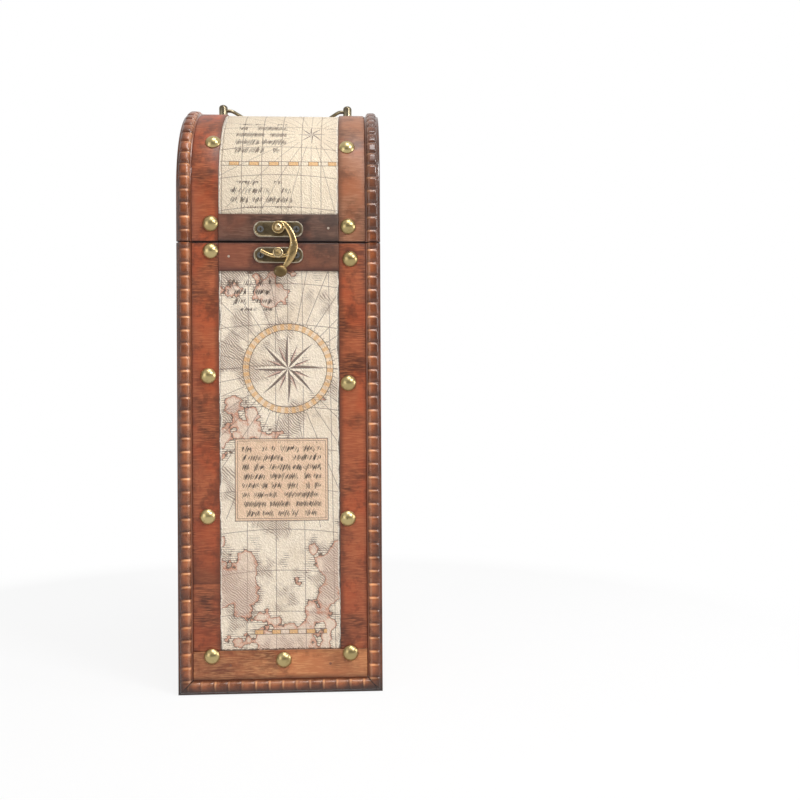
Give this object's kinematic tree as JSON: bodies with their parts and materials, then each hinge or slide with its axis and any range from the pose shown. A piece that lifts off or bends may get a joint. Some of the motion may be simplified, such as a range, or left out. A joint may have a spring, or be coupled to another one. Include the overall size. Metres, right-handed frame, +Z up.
{
  "type": "gift box",
  "caption": "Tall wooden gift box with a hinged domed lid, swing-hook latch, wire carrying handle, embossed edge trim and dome-head nails, sized for a bottle.",
  "frame": {"origin": "centre of the base, under the middle of the boards", "axes": "+Z up, -Y towards the front with the latch, +X to the right as seen from the front"},
  "size_m": [0.119, 0.1285, 0.3636],
  "materials": {
    "board_wood": "stained, satin lacquer",
    "strip_wood": "red-brown stain, satin lacquer",
    "print": "printed leatherette, fine pebble grain",
    "trim": "embossed leather, glossy",
    "nail_brass": "polished pale brass",
    "brad_steel": "dull",
    "latch_bronze": "antique bronze, worn edges",
    "screw_steel": "darkened",
    "hinge_brass": "antique brass",
    "handle_bronze": "antique bronze"
  },
  "bodies": {
    "box": {"bottom_board": "board_wood", "front_board": "board_wood", "back_board": "board_wood", "left_side_board": "board_wood", "right_side_board": "board_wood", "front_print_panel": "print", "front_left_stile": "strip_wood", "front_right_stile": "strip_wood", "front_top_rail": "strip_wood", "front_bottom_rail": "strip_wood", "left_edge_trim": "trim", "right_edge_trim": "trim", "bottom_edge_trim": "trim", "front_nails": "nail_brass", "front_brads": "brad_steel", "catch_plate": "latch_bronze", "catch_screws": "screw_steel", "catch_post": "latch_bronze", "left_hinge_body_leaf": "hinge_brass", "right_hinge_body_leaf": "hinge_brass", "left_hinge_pin": "hinge_brass", "right_hinge_pin": "hinge_brass", "hinge_body_screws": "screw_steel"},
    "lid": {"lid_front_board": "board_wood", "lid_back_board": "board_wood", "lid_left_cheek": "board_wood", "lid_right_cheek": "board_wood", "lid_dome_sheet": "board_wood", "lid_print_panel": "print", "lid_left_strip": "strip_wood", "lid_right_strip": "strip_wood", "lid_front_rail": "strip_wood", "lid_left_edge_trim": "trim", "lid_right_edge_trim": "trim", "lid_nails": "nail_brass", "lid_brads": "brad_steel", "latch_plate": "latch_bronze", "latch_screws": "screw_steel", "latch_rivet": "latch_bronze", "left_hinge_lid_leaf": "hinge_brass", "right_hinge_lid_leaf": "hinge_brass", "hinge_lid_screws": "screw_steel", "left_handle_post": "handle_bronze", "right_handle_post": "handle_bronze", "handle_post_nuts": "screw_steel"},
    "hook": {"latch_hook": "latch_bronze"},
    "handle": {"bail_handle": "handle_bronze"}
  },
  "joints": [
    {"name": "lid_hinge", "type": "hinge", "parent": "box", "child": "lid", "pos_m": [0, 0.0604, 0.264], "axis": [-1, 0, 0], "range_deg": [0, 108]},
    {"name": "hook_swing", "type": "hinge", "parent": "lid", "child": "hook", "pos_m": [0, -0.0624, 0.2722], "axis": [0, -1, 0], "range_deg": [0, 100]},
    {"name": "handle_swing", "type": "hinge", "parent": "lid", "child": "handle", "pos_m": [0, 0, 0.36], "axis": [1, 0, 0], "range_deg": [0, 225]}
  ]
}
